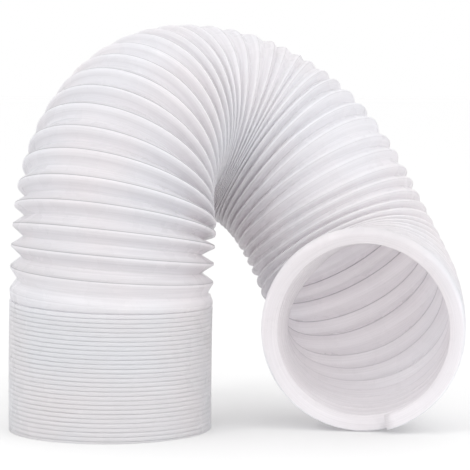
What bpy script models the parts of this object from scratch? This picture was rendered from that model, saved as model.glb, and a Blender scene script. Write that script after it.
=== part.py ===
"""Exhaust hose of a portable air conditioner: one spirally pleated plastic strip, wound into a tube.

Metres, +Z up. The origin is under the middle of the hose, on the floor. The closed foot of the hose stands
on z = 0. Above it the pleats open, the hose arches over towards +X and comes down to an open mouth that
faces -Y and rests on z = 0.
"""

import math

import bpy
import numpy as np

# Driving sizes of the hose.
HOSE_DIAMETER = 0.150  # over the ridges of the pleats
FLANK_WIDTH = 0.0113  # one flank of a pleat, from its ridge to its valley
WALL = 0.0005

# How far the pleats stand open: the full angle between the two flanks of a pleat, in degrees.
FOOT_OPENING = 16.7
STRETCHED_OPENING = 98.2
ARCH_OPENING = 54.0
MOUTH_OPENING = 30.0

# Where the strip starts and ends, as angles round the hose in degrees.
START_ANGLE = -97.0
END_ANGLE = 139.0

# Limits of a pleat on the inner and outer side of a bend.
SHALLOWEST_PLEAT = 0.0015
WALL_SHARE_OF_FOLD = 0.30

# The hose as it lies, in hose radii along its middle. A row is the distance, the bend towards the inside of
# the arch and the bend sideways. A bend of 1 has its centre on the hose's own surface.
FOOT_LENGTH = 1.32
BENDS = [
    (0.00, 0.02, -0.01),
    (0.53, 0.12, 0.47),
    (1.07, 0.52, 0.75),
    (1.60, 0.48, 0.59),
    (2.00, 0.94, 0.41),
    (2.40, 1.11, -0.08),
    (2.80, 1.09, 0.24),
    (3.20, 1.09, 0.06),
    (3.60, 0.43, 0.43),
    (4.00, 0.00, 0.47),
    (4.50, 0.41, -0.18),
    (5.00, 0.85, -0.56),
    (5.45, 0.92, -0.39),
    (6.05, 0.40, -0.77),
]

# Distance after the foot, in hose radii, and the opening of the pleats there.
OPENINGS = [
    (-2.00, FOOT_OPENING),
    (-0.06, FOOT_OPENING),
    (-0.01, STRETCHED_OPENING),
    (0.29, 1.52 * ARCH_OPENING),
    (0.70, 1.12 * ARCH_OPENING),
    (1.10, 0.99 * ARCH_OPENING),
    (1.60, 1.04 * ARCH_OPENING),
    (2.10, 0.89 * ARCH_OPENING),
    (2.60, 1.04 * ARCH_OPENING),
    (3.10, 0.66 * ARCH_OPENING),
    (3.60, 0.97 * ARCH_OPENING),
    (4.20, 0.97 * ARCH_OPENING),
    (4.80, 1.06 * ARCH_OPENING),
    (5.30, 0.91 * ARCH_OPENING),
    (5.75, MOUTH_OPENING),
    (6.05, MOUTH_OPENING),
]

# The round section is pushed flat where the hose bends: distance after the foot in hose radii, then the
# share of the radius that is lost on the inside and on the outside of the arch.
DENTS = [
    (0.80, 0.00, 0.00),
    (1.60, 0.15, 0.00),
    (2.30, 0.22, 0.00),
    (3.10, 0.24, 0.15),
    (3.80, 0.24, 0.16),
    (4.50, 0.24, 0.16),
    (5.30, 0.20, 0.00),
    (6.05, 0.00, 0.00),
]

# The mouth clears the floor by this much, so that the foot alone decides where the floor is.
FLOOR_GAP = 0.0003

# Resolution. A section with this many sides is drawn so large that it has the area of the true circle.
SIDES = 16
SWELL = math.sqrt(2 * math.pi / SIDES / math.sin(2 * math.pi / SIDES))
ROUTE_STEPS = 900
SETTLING_ROUNDS = 6
SAME_TURN = 1e-9  # turns that differ by less are the same
SHARP_ANGLE = 35.0  # degrees

PLASTIC_COLOUR = (0.86, 0.85, 0.87, 1.0)
PLASTIC_ROUGHNESS = 0.38

RADIUS = HOSE_DIAMETER / 2


def clear_scene():
    """Remove every object of the scene."""
    for thing in list(bpy.data.objects):
        bpy.data.objects.remove(thing, do_unlink=True)


def make_collection(name):
    """A new collection in the scene."""
    collection = bpy.data.collections.new(name)
    bpy.context.scene.collection.children.link(collection)
    return collection


def make_plastic():
    """White half-gloss polypropylene."""
    plastic = bpy.data.materials.new("white_plastic")
    plastic.use_nodes = True
    shader = plastic.node_tree.nodes["Principled BSDF"]
    shader.inputs["Base Color"].default_value = PLASTIC_COLOUR
    shader.inputs["Roughness"].default_value = PLASTIC_ROUGHNESS
    shader.inputs["Metallic"].default_value = 0.0
    return plastic


def table(rows, column, where):
    """One column of a table, read at the given distances."""
    distances = [row[0] for row in rows]
    return np.interp(where, distances, [row[column] for row in rows])


def make_route(foot_length):
    """The hose's middle line: its points, frames, bends, pitches and turns, all by distance."""
    length = (foot_length + BENDS[-1][0]) * RADIUS
    distance = np.linspace(0.0, length, ROUTE_STEPS)
    step = distance[1]
    after_foot = distance / RADIUS - foot_length
    inward = table(BENDS, 1, after_foot) / RADIUS
    sideways = table(BENDS, 2, after_foot) / RADIUS
    middle = np.zeros((ROUTE_STEPS, 3))
    along = np.tile((0.0, 0.0, 1.0), (ROUTE_STEPS, 1))
    inner = np.tile((1.0, 0.0, 0.0), (ROUTE_STEPS, 1))
    side = np.tile((0.0, 1.0, 0.0), (ROUTE_STEPS, 1))
    for i in range(1, ROUTE_STEPS):
        bend = inward[i] * inner[i - 1] + sideways[i] * side[i - 1]
        ahead = along[i - 1] + bend * step
        along[i] = ahead / np.linalg.norm(ahead)
        middle[i] = middle[i - 1] + step * (along[i - 1] + along[i]) / 2
        square = inner[i - 1] - along[i] * np.dot(inner[i - 1], along[i])
        inner[i] = square / np.linalg.norm(square)
        side[i] = np.cross(along[i], inner[i])
    bends = inward[:, None] * inner + sideways[:, None] * side
    opening = np.radians(table(OPENINGS, 1, after_foot))
    pitch = 2 * FLANK_WIDTH * np.sin(opening / 2)
    turns = np.concatenate(([0.0], np.cumsum(2 * step / (pitch[1:] + pitch[:-1]))))
    dents = np.stack([table(DENTS, 1, after_foot), table(DENTS, 2, after_foot)], axis=1)
    return {
        "turns": turns,
        "middle": middle,
        "inner": inner,
        "side": side,
        "bends": bends,
        "pitch": pitch[:, None],
        "dents": dents,
    }


def read_route(route, name, turn):
    """A value of the route at the given turns."""
    columns = route[name].T
    return np.stack([np.interp(turn, route["turns"], column) for column in columns], axis=1)


def pleat_points(route, turn, angle, phase):
    """Points of the outer and the inner skin. The phase is 0 on a ridge and 1/2 in a valley."""
    round_inner = np.cos(angle)[:, None] * read_route(route, "inner", turn)
    outward = round_inner + np.sin(angle)[:, None] * read_route(route, "side", turn)
    dents = read_route(route, "dents", turn)
    lost_inside = dents[:, 0] * np.clip(np.cos(angle), 0.0, 1.0) ** 2
    lost_outside = dents[:, 1] * np.clip(-np.cos(angle), 0.0, 1.0) ** 2
    ridge = RADIUS * SWELL * (1 - lost_inside - lost_outside)
    bend = np.sum(read_route(route, "bends", turn) * outward, axis=1)
    pitch = read_route(route, "pitch", turn)[:, 0]
    fold = pitch * (1 - bend * (ridge - FLANK_WIDTH / 2))
    depth = np.sqrt(np.maximum(FLANK_WIDTH**2 - (fold / 2) ** 2, SHALLOWEST_PLEAT**2))
    lean = np.minimum(fold / 2 / FLANK_WIDTH, 1.0)
    wall = np.minimum(WALL, WALL_SHARE_OF_FOLD * pitch * (1 - bend * ridge)) / lean
    valley_share = 1 - 2 * np.abs(phase % 1.0 - 0.5)
    middle = read_route(route, "middle", turn)
    outer_radius = ridge - depth * valley_share
    outer = middle + outer_radius[:, None] * outward
    return outer, outer - wall[:, None] * outward


def last_turn(route):
    """The turn at which the strip ends, so that its cut lies at the end angle."""
    part_turn = round(((START_ANGLE - END_ANGLE) / 360 % 1.0) * SIDES) / SIDES
    return math.floor(route["turns"][-1] - part_turn) + part_turn


def half_turn_rows(end):
    """The rows of points, a ridge and a valley to each turn."""
    return range(-2, math.ceil(end) * 2 + 1)


def sheet_cells(end):
    """The corners of every four-sided cell of the wound strip, as (row, column) pairs."""
    cells = []
    for row in half_turn_rows(end)[:-1]:
        ridge_above = row + 2 - row % 2
        for column in range(SIDES):
            if ridge_above / 2 + (column + 1) / SIDES > end + SAME_TURN:
                continue
            if (row + 1) / 2 + (column + 1) / SIDES <= SAME_TURN:
                continue
            cells.append([(row, column), (row + 1, column), (row + 1, column + 1), (row, column + 1)])
    return cells


def corner_key(row, column):
    """One name for each corner. The last column of a turn is the first column of the next."""
    if column == SIDES:
        row, column = row + 2, 0
    if row / 2 + column / SIDES <= SAME_TURN:
        return "foot", column
    return row, column


def corner_place(key):
    """The turn and the column of a corner. The foot is cut square, so its corners are all at turn 0."""
    row, column = key
    if row == "foot":
        return 0.0, column
    return row / 2 + column / SIDES, column


def wound_strip(route):
    """Corner positions of both skins, and the triangles of one skin."""
    end = last_turn(route)
    keys = []
    numbers = {}
    triangles = []
    for cell in sheet_cells(end):
        corners = []
        for row, column in cell:
            key = corner_key(row, column)
            if key not in numbers:
                numbers[key] = len(keys)
                keys.append(key)
            if numbers[key] not in corners:
                corners.append(numbers[key])
        for i in range(1, len(corners) - 1):
            triangles.append((corners[0], corners[i], corners[i + 1]))
    places = [corner_place(key) for key in keys]
    turn = np.array([place[0] for place in places])
    column_share = np.array([place[1] for place in places]) / SIDES
    angle = math.radians(START_ANGLE) - 2 * math.pi * column_share
    outer, inner = pleat_points(route, turn, angle, turn - column_share)
    return outer, inner, triangles


def open_edges(triangles):
    """The edges that belong to one triangle only, in that triangle's direction."""
    edges = {(t[i], t[(i + 1) % 3]) for t in triangles for i in range(3)}
    return [(a, b) for a, b in sorted(edges) if (b, a) not in edges]


def closed_shell(outer, inner, triangles):
    """Points and faces of the whole wall: both skins, joined along the strip's cut edges."""
    offset = len(outer)
    faces = [tuple(t) for t in triangles]
    faces += [tuple(offset + i for i in reversed(t)) for t in triangles]
    for a, b in open_edges(triangles):
        faces.append((b, a, offset + a))
        faces.append((b, offset + a, offset + b))
    return np.concatenate((outer, inner)), faces


def settled_route():
    """A route whose foot is just long enough for the mouth to lie on the floor."""
    foot_length = FOOT_LENGTH
    for _ in range(SETTLING_ROUNDS):
        route = make_route(foot_length)
        outer, _, _ = wound_strip(route)
        far_side = outer[outer[:, 0] > RADIUS + FLANK_WIDTH]
        foot_length -= (far_side[:, 2].min() - FLOOR_GAP) / RADIUS
    return make_route(foot_length)


def above_origin(points):
    """The points moved so that the origin is under the middle of their box. The floor stays at z = 0."""
    under_middle = (points.min(axis=0) + points.max(axis=0)) / 2
    under_middle[2] = 0.0
    return points - under_middle


def make_hose_wall(collection, plastic):
    """The hose as one object."""
    outer, inner, triangles = wound_strip(settled_route())
    points, faces = closed_shell(outer, inner, triangles)
    points = above_origin(points)
    mesh = bpy.data.meshes.new("hose_wall")
    mesh.from_pydata([tuple(p) for p in points], [], faces)
    mesh.materials.append(plastic)
    mesh.shade_smooth()
    mesh.set_sharp_from_angle(angle=math.radians(SHARP_ANGLE))
    mesh.update()
    hose = bpy.data.objects.new("hose_wall", mesh)
    collection.objects.link(hose)
    return hose


def main():
    clear_scene()
    collection = make_collection("exhaust_hose")
    plastic = make_plastic()
    make_hose_wall(collection, plastic)


main()
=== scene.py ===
"""Looks of the exhaust hose of a portable air conditioner: its pleated wall, its plastic and a stage.

Metres and degrees, in the part's frame. The hose is one strip, wound left-handed. Its foot stands folded on
the floor, and its mouth faces -Y.
"""

import math

import bpy
import numpy as np
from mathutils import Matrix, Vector


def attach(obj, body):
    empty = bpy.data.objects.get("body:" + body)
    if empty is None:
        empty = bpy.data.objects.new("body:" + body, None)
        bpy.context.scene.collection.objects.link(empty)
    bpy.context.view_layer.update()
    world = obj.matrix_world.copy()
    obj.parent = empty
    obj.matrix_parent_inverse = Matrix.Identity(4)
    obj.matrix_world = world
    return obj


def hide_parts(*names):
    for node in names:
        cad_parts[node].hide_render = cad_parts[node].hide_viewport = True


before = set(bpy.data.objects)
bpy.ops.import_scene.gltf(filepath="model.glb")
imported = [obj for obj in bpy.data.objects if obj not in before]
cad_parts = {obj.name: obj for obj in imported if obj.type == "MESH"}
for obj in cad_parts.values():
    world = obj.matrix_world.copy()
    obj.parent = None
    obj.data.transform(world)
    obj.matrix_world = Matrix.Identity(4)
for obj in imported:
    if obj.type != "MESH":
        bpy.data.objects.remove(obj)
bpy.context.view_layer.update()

bl_info = {
    "name": "Exhaust Hose Looks",
    "version": (1, 0, 0),
    "blender": (4, 5, 0),
    "location": "View3D > Sidebar > Hose",
    "description": "Makes a wound, pleated exhaust hose, its plastic and its stage",
    "category": "Object",
}

# In the tables, a distance is measured along the hose's middle from the end of the folded foot, in hose
# radii.

# How the hose lies: distance, bend towards the inside of the arch, bend sideways.
BENDS = [
    (0.00, 0.02, -0.01),
    (0.53, 0.12, 0.47),
    (1.07, 0.52, 0.75),
    (1.60, 0.48, 0.59),
    (2.00, 0.94, 0.41),
    (2.40, 1.11, -0.08),
    (2.80, 1.09, 0.24),
    (3.20, 1.09, 0.06),
    (3.60, 0.43, 0.43),
    (4.00, 0.00, 0.47),
    (4.50, 0.41, -0.18),
    (5.00, 0.85, -0.56),
    (5.45, 0.92, -0.39),
    (6.05, 0.40, -0.77),
]

# How far the pleats are open: distance, which of the four opening angles they have there, and the share of
# that angle.
OPENINGS = [
    (-2.00, "foot", 1.00),
    (-0.06, "foot", 1.00),
    (-0.01, "stretched", 1.00),
    (0.29, "arch", 1.52),
    (0.70, "arch", 1.12),
    (1.10, "arch", 0.99),
    (1.60, "arch", 1.04),
    (2.10, "arch", 0.89),
    (2.60, "arch", 1.04),
    (3.10, "arch", 0.66),
    (3.60, "arch", 0.97),
    (4.20, "arch", 0.97),
    (4.80, "arch", 1.06),
    (5.30, "arch", 0.91),
    (5.75, "mouth", 1.00),
    (6.05, "mouth", 1.00),
]

# How much the bend flattens the hose: distance, and the share of the radius that is lost on the inside and
# on the outside of the arch.
DENTS = [
    (0.80, 0.00, 0.00),
    (1.60, 0.15, 0.00),
    (2.30, 0.22, 0.00),
    (3.10, 0.24, 0.15),
    (3.80, 0.24, 0.16),
    (4.50, 0.24, 0.16),
    (5.30, 0.20, 0.00),
    (6.05, 0.00, 0.00),
]

# How unevenly the pleats stand: distance, and the share of a pitch by which one may slip along the hose.
SLIPS = [
    (0.00, 0.010),
    (0.60, 0.020),
    (1.60, 0.040),
    (2.60, 0.080),
    (3.20, 0.090),
    (5.20, 0.090),
    (5.80, 0.020),
]

# The waves of that slip: height, number in a turn, and whether their crests lean forward or back.
SLIP_WAVES = [
    (0.7, 0.437, 1.0),
    (0.5, 0.173, -1.0),
]
LEAN_ONCE = (1.3, 0.4)  # how far the crests lean once round the hose, and from which angle
LEAN_TWICE = (0.8, 1.1)  # the same, twice round the hose

# Where the pleats lie over each other, only the upper part of each shows from outside: distance, the share
# of a pleat's depth that shows, of the seam's width, and of the groove and the painted dark line beside it,
# which marks the weld and paints the shade in the groove.
OVERLAPS = [
    (-0.14, 1.00, 1.00, 0.22),
    (-0.09, 0.40, 1.00, 0.20),
    (-0.05, 0.12, 1.00, 0.10),
    (0.00, 0.14, 0.80, 0.10),
    (0.07, 0.55, 0.60, 0.80),
    (0.25, 1.00, 0.55, 1.00),
    (1.60, 0.95, 0.55, 1.00),
    (2.10, 0.75, 0.50, 0.80),
    (2.45, 0.35, 0.45, 0.50),
    (3.20, 0.25, 0.45, 0.40),
    (3.55, 0.65, 0.50, 0.35),
    (4.20, 0.45, 0.50, 0.35),
    (4.80, 0.40, 0.50, 0.30),
    (5.40, 0.35, 0.60, 0.30),
    (5.90, 0.60, 0.80, 0.30),
    (6.00, 0.80, 0.90, 0.60),
]

# The painted dark lines inside the hose, which mark the welds and paint the shade along the ribs, fade
# towards the mouth: distance, and the share that still shows.
INSIDE_SHADE_LINES = [
    (4.30, 1.00),
    (5.00, 0.60),
    (5.50, 0.15),
    (6.05, 0.05),
]

# How much painted dark line each row of the profile carries. The line marks the welds and paints the shade
# in the groove beside the seam on the outer skin, and along the rib in each valley on the inner skin.
OUTER_SHADE_LINES = (0.0, 0.0, 0.3, 1.0, 0.3, 0.15, 0.0, 0.0, 0.0, 0.25, 0.0, 0.0, 0.0)
INNER_SHADE_LINES = (0.0, 0.0, 0.0, 0.8, 1.0, 0.8, 0.0, 0.0)

FOOT_LENGTH = 1.3107  # hose radii
FOOT_CENTRE = (-0.09395, -0.03970)
ROUTE_STEPS = 900
SIDES = 60  # steps round the hose
SHALLOWEST_PLEAT = 0.0015

# Limits in narrow folds, as shares of the fold: half the seam, the groove and the wall.
LARGEST_SEAM_SHARE = 0.42
LARGEST_GROOVE_SHARE = 0.07
LARGEST_WALL_SHARE = 0.20

# How far below the ridge parts of the seam lie, and where the flanks start.
SEAM_CROWN_DROP = 0.00003
SEAM_FRONT_DROP = 0.00015
SEAM_BACK_DROP = 0.00012
LIP_DROP = 0.00018

DRAWN_LINES = (16.0, 1150.0, 1150.0)  # in a metre along the strip, and across it
CLOUDS = 11.0  # in a metre
SMUDGES = 60.0  # in a metre
LESS_DULL = 0.07  # by how much the smudges change the roughness, downwards and upwards
MORE_DULL = 0.09
RELIEF_DEPTH = 0.0004
RELIEF_STRENGTH = 0.60

FLOOR_WIDTH = 24.0
FLOOR_ROUGHNESS = 0.9
FLOOR_GLOW = 0.04
WHITE = (1.0, 1.0, 1.0, 1.0)

# The lamps: name, place, what it points at, width, and the setting that holds its power.
LAMPS = [
    ("key_lamp", (1.7, -1.5, 1.9), (0.0, 0.0, 0.1), 1.6, "key_power"),
    ("fill_lamp", (0.6, -1.9, 0.8), (0.0, 0.0, 0.12), 0.8, "fill_power"),
    ("glint_lamp", (-1.3, -1.3, 1.5), (-0.1, 0.0, 0.2), 0.35, "glint_power"),
]

CAMERA_PLACE = (-0.0014, -1.7215, 0.2775)
CAMERA_TILT = 4.573  # degrees downwards
SENSOR_WIDTH = 36.0  # millimetres
FOCAL_LENGTH = 2290.0  # in pixels of a picture that is as wide as the next line says
PICTURE_WIDTH = 470.0


class HoseSizes(bpy.types.PropertyGroup):
    """Sizes of the wound strip."""

    diameter: bpy.props.FloatProperty(
        name="Diameter", description="Over the ridges of the pleats", default=0.150, unit="LENGTH")
    flank: bpy.props.FloatProperty(
        name="Flank", description="Width of one flank of a pleat", default=0.0113, unit="LENGTH")
    wall: bpy.props.FloatProperty(
        name="Wall", description="Thickness of the strip", default=0.0005, unit="LENGTH")
    seam: bpy.props.FloatProperty(
        name="Seam", description="Width of the welded band on each ridge", default=0.0027, unit="LENGTH")
    groove: bpy.props.FloatProperty(
        name="Groove", description="Width of the groove beside the seam", default=0.0007, unit="LENGTH")
    groove_depth: bpy.props.FloatProperty(
        name="Groove Depth", description="Depth of the groove beside the seam", default=0.0005,
        unit="LENGTH")
    foot: bpy.props.FloatProperty(
        name="Foot Opening", description="Angle between the flanks in the folded foot",
        default=math.radians(16.7), subtype="ANGLE")
    stretched: bpy.props.FloatProperty(
        name="Stretched Opening", description="Angle between the flanks above the foot",
        default=math.radians(98.2), subtype="ANGLE")
    arch: bpy.props.FloatProperty(
        name="Arch Opening", description="Angle between the flanks in the arch",
        default=math.radians(54.0), subtype="ANGLE")
    mouth: bpy.props.FloatProperty(
        name="Mouth Opening", description="Angle between the flanks at the mouth",
        default=math.radians(30.0), subtype="ANGLE")
    start: bpy.props.FloatProperty(
        name="Start", description="Where the strip starts, round the foot",
        default=math.radians(-97.0), subtype="ANGLE")
    end: bpy.props.FloatProperty(
        name="End", description="Where the strip ends, round the mouth",
        default=math.radians(139.0), subtype="ANGLE")


class HoseFinish(bpy.types.PropertyGroup):
    """Colours and surface of the plastic."""

    colour: bpy.props.FloatVectorProperty(
        name="Colour", description="Main white of the plastic", subtype="COLOR", size=4, min=0.0, max=1.0,
        default=(0.965, 0.935, 0.955, 1.0))
    cool_colour: bpy.props.FloatVectorProperty(
        name="Cool Colour", description="The bluer white that clouds it", subtype="COLOR", size=4, min=0.0,
        max=1.0, default=(0.935, 0.94, 0.975, 1.0))
    # Painted shade: the inner skin is painted a darker mauve white for the shade inside the hose.
    inside_shade_colour: bpy.props.FloatVectorProperty(
        name="Inside Colour", description="White of the inner skin", subtype="COLOR", size=4, min=0.0,
        max=1.0, default=(0.915, 0.88, 0.90, 1.0))
    # Painted shade: this dark grey marks the welds and paints the shade in the grooves beside the seams and
    # along the ribs inside.
    weld_shade_colour: bpy.props.FloatVectorProperty(
        name="Weld Colour", description="Grey of the weld lines", subtype="COLOR", size=4, min=0.0, max=1.0,
        default=(0.25, 0.235, 0.26, 1.0))
    # How strongly the painted dark lines show, which mark the welds and paint the shade in the grooves and
    # along the ribs.
    weld: bpy.props.FloatProperty(
        name="Weld", description="How much the weld lines show", default=0.85, min=0.0, max=1.0,
        subtype="FACTOR")
    streaks: bpy.props.FloatProperty(
        name="Streaks", description="How much the drawn lines show", default=0.18, min=0.0, max=1.0,
        subtype="FACTOR")
    roughness: bpy.props.FloatProperty(
        name="Roughness", description="How dull the plastic is", default=0.28, min=0.0, max=1.0,
        subtype="FACTOR")
    through: bpy.props.FloatProperty(
        name="Translucency", description="Share of the light that comes through the wall", default=0.50,
        min=0.0, max=1.0, subtype="FACTOR")


class StageSettings(bpy.types.PropertyGroup):
    """Floor, lights and picture."""

    floor_colour: bpy.props.FloatVectorProperty(
        name="Floor Colour", description="Colour of the floor", subtype="COLOR", size=4, min=0.0, max=1.0,
        default=(0.675, 0.675, 0.675, 1.0))
    key_power: bpy.props.FloatProperty(
        name="Key Power", description="Power of the main lamp", default=13.0, unit="POWER")
    fill_power: bpy.props.FloatProperty(
        name="Fill Power", description="Power of the lamp that lights the front from low down", default=5.0,
        unit="POWER")
    glint_power: bpy.props.FloatProperty(
        name="Glint Power", description="Power of the small lamp that makes the highlights", default=7.0,
        unit="POWER")
    sky: bpy.props.FloatProperty(
        name="Sky", description="Brightness of the surrounding light", default=1.36, min=0.0)
    gamma: bpy.props.FloatProperty(
        name="Gamma", description="How much the picture lifts the dark tones", default=1.35, min=1.0,
        max=2.0)


def table(rows, column, where):
    """One column of a table, read at the given distances."""
    return np.interp(where, [row[0] for row in rows], [row[column] for row in rows])


def make_route(sizes):
    """The hose's middle line: its points, frames, bends, pitches and turns, all by distance."""
    radius = sizes.diameter / 2
    length = (FOOT_LENGTH + BENDS[-1][0]) * radius
    distance = np.linspace(0.0, length, ROUTE_STEPS)
    step = distance[1]
    after_foot = distance / radius - FOOT_LENGTH
    inward = table(BENDS, 1, after_foot) / radius
    sideways = table(BENDS, 2, after_foot) / radius
    middle = np.tile((FOOT_CENTRE[0], FOOT_CENTRE[1], 0.0), (ROUTE_STEPS, 1))
    along = np.tile((0.0, 0.0, 1.0), (ROUTE_STEPS, 1))
    inner = np.tile((1.0, 0.0, 0.0), (ROUTE_STEPS, 1))
    side = np.tile((0.0, 1.0, 0.0), (ROUTE_STEPS, 1))
    for i in range(1, ROUTE_STEPS):
        bend = inward[i] * inner[i - 1] + sideways[i] * side[i - 1]
        ahead = along[i - 1] + bend * step
        along[i] = ahead / np.linalg.norm(ahead)
        middle[i] = middle[i - 1] + step * (along[i - 1] + along[i]) / 2
        square = inner[i - 1] - along[i] * np.dot(inner[i - 1], along[i])
        inner[i] = square / np.linalg.norm(square)
        side[i] = np.cross(along[i], inner[i])
    openings = [(row[0], row[2] * getattr(sizes, row[1])) for row in OPENINGS]
    pitch = 2 * sizes.flank * np.sin(table(openings, 1, after_foot) / 2)
    turns = np.concatenate(([0.0], np.cumsum(2 * step / (pitch[1:] + pitch[:-1]))))
    values = {
        "middle": middle,
        "inner": inner,
        "side": side,
        "bends": inward[:, None] * inner + sideways[:, None] * side,
        "pitch": pitch,
        "dent_inside": table(DENTS, 1, after_foot),
        "dent_outside": table(DENTS, 2, after_foot),
        "slip": table(SLIPS, 1, after_foot),
        "depth": table(OVERLAPS, 1, after_foot),
        "seam": sizes.seam * table(OVERLAPS, 2, after_foot),
        "cut": table(OVERLAPS, 3, after_foot),
        "inside_shade_lines": table(INSIDE_SHADE_LINES, 1, after_foot),
    }
    return turns, values


def read(route, name, turn):
    """A value of the route at the given turns."""
    turns, values = route
    value = values[name]
    if value.ndim == 1:
        return np.interp(turn, turns, value)
    return np.stack([np.interp(turn, turns, column) for column in value.T], axis=-1)


def outward_of(route, turn, angle):
    """The direction from the hose's middle to its wall."""
    inner = read(route, "inner", turn)
    side = read(route, "side", turn)
    return np.cos(angle)[..., None] * inner + np.sin(angle)[..., None] * side


def slip_of(route, turn, angle):
    """How far a pleat has slipped along the hose, in turns, and how many times as wide that makes it."""
    lean = LEAN_ONCE[0] * np.cos(angle + LEAN_ONCE[1]) + LEAN_TWICE[0] * np.sin(2 * angle + LEAN_TWICE[1])
    slip = 0.0
    slope = 0.0
    for height, waves, way in SLIP_WAVES:
        phase = 2 * math.pi * waves * turn + way * lean
        slip = slip + height * np.sin(phase)
        slope = slope + height * waves * np.cos(phase)
    share = read(route, "slip", turn)
    return share * slip, 1 + share * 2 * math.pi * slope


def pleat_shape(route, sizes, turn, angle):
    """Ridge radius, axial width and depth of the pleat at each place."""
    radius = sizes.diameter / 2
    inside = read(route, "dent_inside", turn) * np.clip(np.cos(angle), 0.0, 1.0) ** 2
    outside = read(route, "dent_outside", turn) * np.clip(-np.cos(angle), 0.0, 1.0) ** 2
    ridge = radius * (1 - inside - outside)
    bend = np.sum(read(route, "bends", turn) * outward_of(route, turn, angle), axis=-1)
    _, wider = slip_of(route, turn, angle)
    fold = read(route, "pitch", turn) * (1 - bend * (ridge - sizes.flank / 2)) * wider
    depth = np.sqrt(np.maximum(sizes.flank**2 - (fold / 2) ** 2, SHALLOWEST_PLEAT**2))
    return ridge, fold, depth


def outer_rows(sizes):
    """The profile of the outer skin, from one ridge to the next: for each row its rough phase, and a
    function that gives its phase and how far it lies below the ridge. The function takes the pleat's width
    along the hose, its depth, its seam's width and the share of the groove that it has."""
    def seam_half(fold, width):
        return np.minimum(width / 2 / fold, LARGEST_SEAM_SHARE)

    def groove_share(fold):
        return np.minimum(sizes.groove / fold, LARGEST_GROOVE_SHARE)

    def seam(share, drop):
        return lambda fold, depth, width, cut: (share * seam_half(fold, width), drop + 0 * fold)

    def groove(share, drop):
        def at(fold, depth, width, cut):
            return seam_half(fold, width) + share * groove_share(fold), LIP_DROP + cut * (drop - LIP_DROP)
        return at

    def rising(share):
        def at(fold, depth, width, cut):
            start = seam_half(fold, width) + groove_share(fold)
            return start + share * (0.5 - start), LIP_DROP + share * (depth - LIP_DROP)
        return at

    def falling(share):
        def at(fold, depth, width, cut):
            start = seam_half(fold, width)
            return 1 - start - share * (0.5 - start), LIP_DROP + share * (depth - LIP_DROP)
        return at

    def next_seam(share, drop):
        return lambda fold, depth, width, cut: (1 - share * seam_half(fold, width), drop + 0 * fold)

    return [
        (0.0, seam(0.0, 0.0)),
        (0.0, seam(0.7, SEAM_CROWN_DROP)),
        (0.0, seam(1.0, SEAM_FRONT_DROP)),
        (0.1, groove(0.45, sizes.groove_depth)),
        (0.1, groove(1.0, LIP_DROP)),
        (0.3, rising(0.45)),
        (0.4, rising(0.92)),
        (0.5, rising(1.0)),
        (0.6, falling(0.92)),
        (0.7, falling(0.45)),
        (0.9, falling(0.04)),
        (1.0, next_seam(1.0, SEAM_BACK_DROP)),
        (1.0, next_seam(0.7, SEAM_CROWN_DROP)),
    ]


def inner_rows(sizes):
    """The same for the inner skin, which follows the outer one a wall's thickness further in."""
    def wall_share(fold):
        return np.minimum(sizes.wall / fold, LARGEST_WALL_SHARE)

    def top(fold, depth):
        lean = np.minimum(fold / 2 / sizes.flank, 1.0)
        return np.minimum(sizes.wall / lean, depth / 2)

    def ridge(fold, depth, width, cut):
        return 0 * fold, top(fold, depth)

    def flank(share, mirrored):
        def at(fold, depth, width, cut):
            phase = share * (0.5 - wall_share(fold))
            drop = top(fold, depth) + share * (depth - top(fold, depth))
            return (1 - phase if mirrored else phase), drop
        return at

    def rib(share, walls, mirrored):
        def at(fold, depth, width, cut):
            phase = 0.5 - share * wall_share(fold)
            return (1 - phase if mirrored else phase), depth + walls * sizes.wall
        return at

    return [
        (0.0, ridge),
        (0.2, flank(0.5, False)),
        (0.5, rib(1.0, 0.0, False)),
        (0.5, rib(0.6, 0.75, False)),
        (0.5, rib(0.0, 1.0, False)),
        (0.5, rib(0.6, 0.75, True)),
        (0.5, rib(1.0, 0.0, True)),
        (0.8, flank(0.5, True)),
    ]


def last_turn(route, sizes):
    """The turn at which the strip ends, so that its cut lies at the end angle."""
    part_turn = round(((sizes.start - sizes.end) / (2 * math.pi) % 1.0) * SIDES) / SIDES
    return math.floor(route[0][-1] - part_turn) + part_turn


def strip_places(sizes, turn, phase):
    """Places on the strip as it left the mould: along it, and across it on a circle, to hide the join."""
    along = turn * math.pi * sizes.diameter
    circle = sizes.flank / math.pi
    across = 2 * math.pi * phase
    return np.stack((along, circle * np.cos(across), circle * np.sin(across)), axis=-1)


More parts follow.
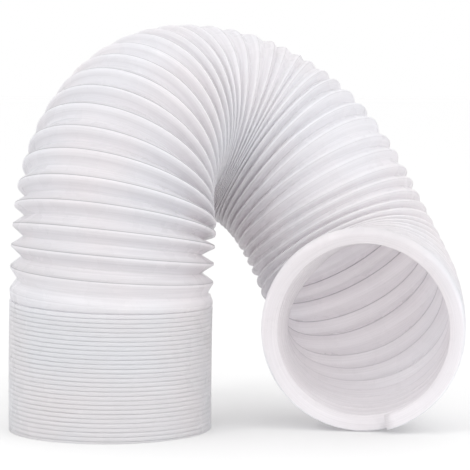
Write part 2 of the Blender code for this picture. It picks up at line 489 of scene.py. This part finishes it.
class Skin:
    """One skin of the strip: a grid of rows across it and steps along it, from a turn before the start."""

    def __init__(self, route, sizes, rows, lines, end, outside):
        self.count = len(rows)
        self.steps = np.arange(-SIDES, round(end * SIDES) + 1)
        angle = sizes.start - 2 * math.pi * self.steps / SIDES
        turn = self.steps / SIDES
        phases = []
        radii = []
        for rough, at in rows:
            ridge, fold, depth = pleat_shape(route, sizes, turn + rough, angle)
            if outside:
                depth = depth * read(route, "depth", turn + rough)
            width = read(route, "seam", turn + rough)
            phase, drop = at(fold, depth, width, read(route, "cut", turn + rough))
            phases.append(phase)
            radii.append(ridge - drop)
        phases = np.array(phases)
        radii = np.array(radii)
        turns = turn[None, :] + phases
        angles = np.tile(angle, (self.count, 1))
        self.points = self.place(route, turns, angles, radii)
        self.strip = strip_places(sizes, np.tile(turn, (self.count, 1)), phases)
        # How much of the painted dark weld-and-shade line shows along the hose.
        shows = read(route, "cut" if outside else "inside_shade_lines", turn)
        self.lines = np.array(lines)[:, None] * shows[None, :]
        self.before_start = turns < 0
        self.foot = self.foot_points(route, sizes, phases, radii)

    def place(self, route, turns, angles, radii):
        """Points at the given turns, angles and distances from the hose's middle."""
        slip, _ = slip_of(route, turns, angles)
        middle = read(route, "middle", turns + slip)
        return middle + radii[..., None] * outward_of(route, turns + slip, angles)

    def foot_points(self, route, sizes, phases, radii):
        """Where the strip is cut square at the floor, one point for each side."""
        found = []
        for column in range(SIDES):
            cut = (-column / SIDES) % 1.0
            order = list(phases[:, column]) + [1.0]
            heights = list(radii[:, column]) + [radii[0, column]]
            found.append(np.interp(cut, order, heights))
        angle = sizes.start - 2 * math.pi * np.arange(SIDES) / SIDES
        middle = read(route, "middle", np.zeros(SIDES))
        return middle + np.array(found)[:, None] * outward_of(route, np.zeros(SIDES), angle)

    def number(self, row, step):
        """The number of a point. Row `count` of a step is row 0 a turn later."""
        row = np.asarray(row)
        step = np.asarray(step)
        wrapped = row == self.count
        row = np.where(wrapped, 0, row)
        step = np.where(wrapped, step + SIDES, step)
        place = step + SIDES
        plain = SIDES + row * len(self.steps) + place
        return np.where(self.before_start[row, place], step % SIDES, plain)

    def all_points(self):
        """The foot's points first, then the grid."""
        return np.concatenate((self.foot, self.points.reshape(-1, 3)))

    def all_strip(self):
        """The places on the strip, in the same order."""
        return np.concatenate((np.zeros((SIDES, 3)), self.strip.reshape(-1, 3)))

    def all_lines(self):
        """How much of a line there is at each point, in the same order."""
        return np.concatenate((np.zeros(SIDES), self.lines.ravel()))

    def cells(self, end):
        """Every four-sided cell, as point numbers."""
        steps = np.arange(-SIDES, round(end * SIDES) - SIDES)
        row, step = np.meshgrid(np.arange(self.count), steps, indexing="ij")
        row, step = row.ravel(), step.ravel()
        return np.stack([
            self.number(row, step), self.number(row + 1, step),
            self.number(row + 1, step + 1), self.number(row, step + 1)], axis=1)


def split_cells(cells):
    """Cells as lists without repeated corners. What has no area is left out."""
    faces = []
    for cell in cells.tolist():
        corners = []
        for corner in cell:
            if corner not in corners:
                corners.append(corner)
        if len(corners) > 2:
            faces.append(corners)
    return faces


def joining_faces(outer, inner, offset, end):
    """Faces along the strip's cut edges, between its two skins."""
    faces = []
    for column in range(SIDES):
        after = (column + 1) % SIDES
        faces.append([column, after, offset + after, offset + column])
    last = round(end * SIDES)
    rim = np.arange(last - SIDES, last)
    outer_rim = outer.number(np.zeros_like(rim), rim)
    inner_rim = inner.number(np.zeros_like(rim), rim)
    outer_next = outer.number(np.zeros_like(rim), rim + 1)
    inner_next = inner.number(np.zeros_like(rim), rim + 1)
    for a, b, c, d in zip(outer_next, outer_rim, inner_rim, inner_next):
        faces.append([int(a), int(b), offset + int(c), offset + int(d)])
    cut = last - SIDES
    outer_cut = [int(outer.number(row, cut)) for row in range(outer.count + 1)]
    inner_cut = [offset + int(inner.number(row, cut)) for row in range(inner.count + 1)]
    i, j = 0, 0
    while i < outer.count or j < inner.count:
        outer_ahead = (i + 1) / outer.count <= (j + 1) / inner.count
        if i < outer.count and (outer_ahead or j == inner.count):
            faces.append([outer_cut[i], outer_cut[i + 1], inner_cut[j]])
            i += 1
        else:
            faces.append([outer_cut[i], inner_cut[j + 1], inner_cut[j]])
            j += 1
    return faces


def hose_mesh(sizes):
    """The whole wall as one closed mesh."""
    route = make_route(sizes)
    end = last_turn(route, sizes)
    outer = Skin(route, sizes, outer_rows(sizes), OUTER_SHADE_LINES, end, True)
    inner = Skin(route, sizes, inner_rows(sizes), INNER_SHADE_LINES, end, False)
    outer_points = outer.all_points()
    offset = len(outer_points)
    faces = split_cells(outer.cells(end))
    faces += [[offset + corner for corner in reversed(face)] for face in split_cells(inner.cells(end))]
    faces += joining_faces(outer, inner, offset, end)
    points = np.concatenate((outer_points, inner.all_points()))
    used = np.unique(np.concatenate([np.array(face) for face in faces]))
    renumbered = np.zeros(len(points), int)
    renumbered[used] = np.arange(len(used))
    mesh = bpy.data.meshes.new("hose_wall_fine")
    mesh.from_pydata(points[used].tolist(), [], [renumbered[face].tolist() for face in faces])
    strip = np.concatenate((outer.all_strip(), inner.all_strip()))[used]
    lines = np.concatenate((outer.all_lines(), inner.all_lines()))[used]
    # Marks the inner skin, which the plastic paints darker as shade inside the hose.
    within = (used >= offset).astype(float)
    mesh.attributes.new("strip", "FLOAT_VECTOR", "POINT").data.foreach_set("vector", strip.ravel())
    # The line attribute holds the painted dark lines: weld marks and painted shade in the grooves and along
    # the ribs.
    mesh.attributes.new("line", "FLOAT", "POINT").data.foreach_set("value", lines)
    mesh.attributes.new("within", "FLOAT", "POINT").data.foreach_set("value", within)
    mesh.shade_smooth()
    mesh.update()
    return mesh


def fill_sockets(tree, node, inputs):
    """Fills a node's sockets. The inputs are pairs of a socket and a value or another node's output."""
    for socket, value in inputs:
        if isinstance(value, bpy.types.NodeSocket):
            tree.links.new(value, node.inputs[socket])
        else:
            node.inputs[socket].default_value = value


def add_node(tree, kind, name, inputs=(), **settings):
    """A named node with its settings and inputs."""
    node = tree.nodes.new(kind)
    node.name = name
    node.label = name
    for key, value in settings.items():
        setattr(node, key, value)
    fill_sockets(tree, node, inputs)
    return node


def noise(tree, name, vector, scale, detail, roughness=0.5):
    """A noise pattern's value."""
    node = add_node(tree, "ShaderNodeTexNoise", name, (
        ("Vector", vector), ("Scale", scale), ("Detail", detail), ("Roughness", roughness)))
    return node.outputs["Fac"]


def spread(tree, name, value, low, high, start, end):
    """A value taken from one range to another."""
    node = add_node(tree, "ShaderNodeMapRange", name, (
        ("Value", value), ("From Min", low), ("From Max", high), ("To Min", start), ("To Max", end)))
    return node.outputs["Result"]


def blend(tree, name, share, first, second, kind="MIX"):
    """Two colours blended."""
    node = add_node(tree, "ShaderNodeMix", name, data_type="RGBA", blend_type=kind)
    fill_sockets(tree, node, ((0, share), (6, first), (7, second)))
    return node.outputs[2]


def hose_plastic(finish):
    """White half-gloss polypropylene with fine drawn lines and faint clouds of colour. Its dark lines mark
    the welds and paint the shade in the grooves and along the ribs, and its inner skin is painted darker
    for the shade inside the hose.
    """
    plastic = bpy.data.materials.new("white_polypropylene")
    plastic.use_nodes = True
    tree = plastic.node_tree
    shader = tree.nodes["Principled BSDF"]
    place = add_node(tree, "ShaderNodeTexCoord", "place").outputs["Object"]
    strip = add_node(tree, "ShaderNodeAttribute", "strip", attribute_name="strip").outputs["Vector"]
    line = add_node(tree, "ShaderNodeAttribute", "line", attribute_name="line").outputs["Fac"]
    within = add_node(tree, "ShaderNodeAttribute", "within", attribute_name="within").outputs["Fac"]
    drawn = add_node(tree, "ShaderNodeVectorMath", "drawn", ((0, strip), (1, DRAWN_LINES)),
                     operation="MULTIPLY").outputs["Vector"]
    hatch = noise(tree, "hatch", drawn, 1.0, 3.0, 0.6)
    clouds = noise(tree, "clouds", place, CLOUDS, 2.0)
    smudges = noise(tree, "smudges", place, SMUDGES, 5.0)
    cloudy = spread(tree, "cloud share", clouds, 0.38, 0.62, 0.0, 1.0)
    tint = blend(tree, "tint", cloudy, finish.colour, finish.cool_colour)
    # Painted shade: the inner skin takes the darker inside colour.
    sides = blend(tree, "inside tint", within, tint, finish.inside_shade_colour)
    streaks = spread(tree, "streak share", hatch, 0.35, 0.70, 1.0 - finish.streaks, 1.0)
    streaked = blend(tree, "streaked", 1.0, sides, streaks, "MULTIPLY")
    # Painted shade: the dark weld lines also stand for the shade in the grooves and along the ribs.
    weld = add_node(tree, "ShaderNodeMath", "weld share", ((0, line), (1, finish.weld)),
                    operation="MULTIPLY").outputs["Value"]
    welded = blend(tree, "welded", weld, streaked, finish.weld_shade_colour)
    # The light through the wall carries the same painted dark weld-and-shade lines.
    glow = blend(tree, "glow", weld, sides, finish.weld_shade_colour)
    tree.links.new(welded, shader.inputs["Base Color"])
    dull = spread(tree, "roughness", smudges, 0.3, 0.7, finish.roughness - LESS_DULL,
                  finish.roughness + MORE_DULL)
    tree.links.new(dull, shader.inputs["Roughness"])
    fine = add_node(tree, "ShaderNodeBump", "fine relief", (
        ("Strength", RELIEF_STRENGTH), ("Distance", RELIEF_DEPTH), ("Height", hatch)))
    tree.links.new(fine.outputs["Normal"], shader.inputs["Normal"])
    through = add_node(tree, "ShaderNodeBsdfTranslucent", "through", (
        ("Color", glow), ("Normal", fine.outputs["Normal"])))
    mix = add_node(tree, "ShaderNodeMixShader", "wall", (
        (0, finish.through), (1, shader.outputs["BSDF"]), (2, through.outputs["BSDF"])))
    tree.links.new(mix.outputs["Shader"], tree.nodes["Material Output"].inputs["Surface"])
    return plastic


class HOSE_OT_wall(bpy.types.Operator):
    """Make the hose's wound wall and its plastic."""

    bl_idname = "hose.wall"
    bl_label = "Make Hose"

    def execute(self, context):
        scene = context.scene
        wall = bpy.data.objects.new("hose_wall_fine", hose_mesh(scene.hose_sizes))
        scene.collection.objects.link(wall)
        wall.data.materials.append(hose_plastic(scene.hose_finish))
        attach(wall, "root")
        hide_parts("hose_wall")
        return {"FINISHED"}


def make_floor(settings):
    """A wide pale floor."""
    material = bpy.data.materials.new("pale_floor")
    material.use_nodes = True
    shader = material.node_tree.nodes["Principled BSDF"]
    shader.inputs["Base Color"].default_value = settings.floor_colour
    shader.inputs["Roughness"].default_value = FLOOR_ROUGHNESS
    shader.inputs["Emission Color"].default_value = WHITE
    shader.inputs["Emission Strength"].default_value = FLOOR_GLOW
    bpy.ops.mesh.primitive_plane_add(size=FLOOR_WIDTH, location=(0.0, 0.0, 0.0))
    floor = bpy.context.object
    floor.name = "floor"
    floor.data.materials.append(material)


def add_lamp(name, place, target, size, power):
    """A white square lamp that points at the target."""
    data = bpy.data.lights.new(name, "AREA")
    data.size = size
    data.energy = power
    lamp = bpy.data.objects.new(name, data)
    lamp.location = place
    direction = np.array(target) - np.array(place)
    lamp.rotation_euler = Vector(direction).to_track_quat("-Z", "Y").to_euler()
    bpy.context.scene.collection.objects.link(lamp)


def make_sky(settings):
    """White light from all sides. The camera sees it as plain white."""
    world = bpy.data.worlds.new("studio")
    world.use_nodes = True
    tree = world.node_tree
    around = tree.nodes["Background"]
    around.inputs["Color"].default_value = WHITE
    around.inputs["Strength"].default_value = settings.sky
    seen = add_node(tree, "ShaderNodeBackground", "seen", (("Color", WHITE), ("Strength", 1.0)))
    path = add_node(tree, "ShaderNodeLightPath", "path")
    mix = add_node(tree, "ShaderNodeMixShader", "sky", (
        (0, path.outputs["Is Camera Ray"]), (1, around.outputs["Background"]),
        (2, seen.outputs["Background"])))
    tree.links.new(mix.outputs["Shader"], tree.nodes["World Output"].inputs["Surface"])
    bpy.context.scene.world = world


def make_camera():
    """The photograph's view: from in front, a little above the hose and tilted down to it."""
    data = bpy.data.cameras.new("camera")
    data.sensor_width = SENSOR_WIDTH
    data.lens = SENSOR_WIDTH * FOCAL_LENGTH / PICTURE_WIDTH
    camera = bpy.data.objects.new("camera", data)
    camera.location = CAMERA_PLACE
    camera.rotation_euler = (math.radians(90.0 - CAMERA_TILT), 0.0, 0.0)
    bpy.context.scene.collection.objects.link(camera)
    bpy.context.scene.camera = camera


class HOSE_OT_stage(bpy.types.Operator):
    """Make the floor, the lights and the camera."""

    bl_idname = "hose.stage"
    bl_label = "Make Stage"

    def execute(self, context):
        settings = context.scene.hose_stage
        make_floor(settings)
        for name, place, target, size, power in LAMPS:
            add_lamp(name, place, target, size, getattr(settings, power))
        make_sky(settings)
        context.scene.view_settings.view_transform = "Standard"
        context.scene.view_settings.gamma = settings.gamma
        make_camera()
        return {"FINISHED"}


class HOSE_PT_looks(bpy.types.Panel):
    """Sizes, finish and stage of the hose."""

    bl_label = "Exhaust Hose"
    bl_idname = "HOSE_PT_looks"
    bl_space_type = "VIEW_3D"
    bl_region_type = "UI"
    bl_category = "Hose"

    def draw(self, context):
        scene = context.scene
        for group in (scene.hose_sizes, scene.hose_finish, scene.hose_stage):
            box = self.layout.box()
            for name in group.__annotations__:
                box.prop(group, name)
        self.layout.operator(HOSE_OT_wall.bl_idname)
        self.layout.operator(HOSE_OT_stage.bl_idname)


CLASSES = (HoseSizes, HoseFinish, StageSettings, HOSE_OT_wall, HOSE_OT_stage, HOSE_PT_looks)


def register():
    for cls in CLASSES:
        bpy.utils.register_class(cls)
    bpy.types.Scene.hose_sizes = bpy.props.PointerProperty(type=HoseSizes)
    bpy.types.Scene.hose_finish = bpy.props.PointerProperty(type=HoseFinish)
    bpy.types.Scene.hose_stage = bpy.props.PointerProperty(type=StageSettings)


def unregister():
    del bpy.types.Scene.hose_stage
    del bpy.types.Scene.hose_finish
    del bpy.types.Scene.hose_sizes
    for cls in reversed(CLASSES):
        bpy.utils.unregister_class(cls)


def main():
    register()
    bpy.ops.hose.wall()
    bpy.ops.hose.stage()


if __name__ == "__main__":
    main()
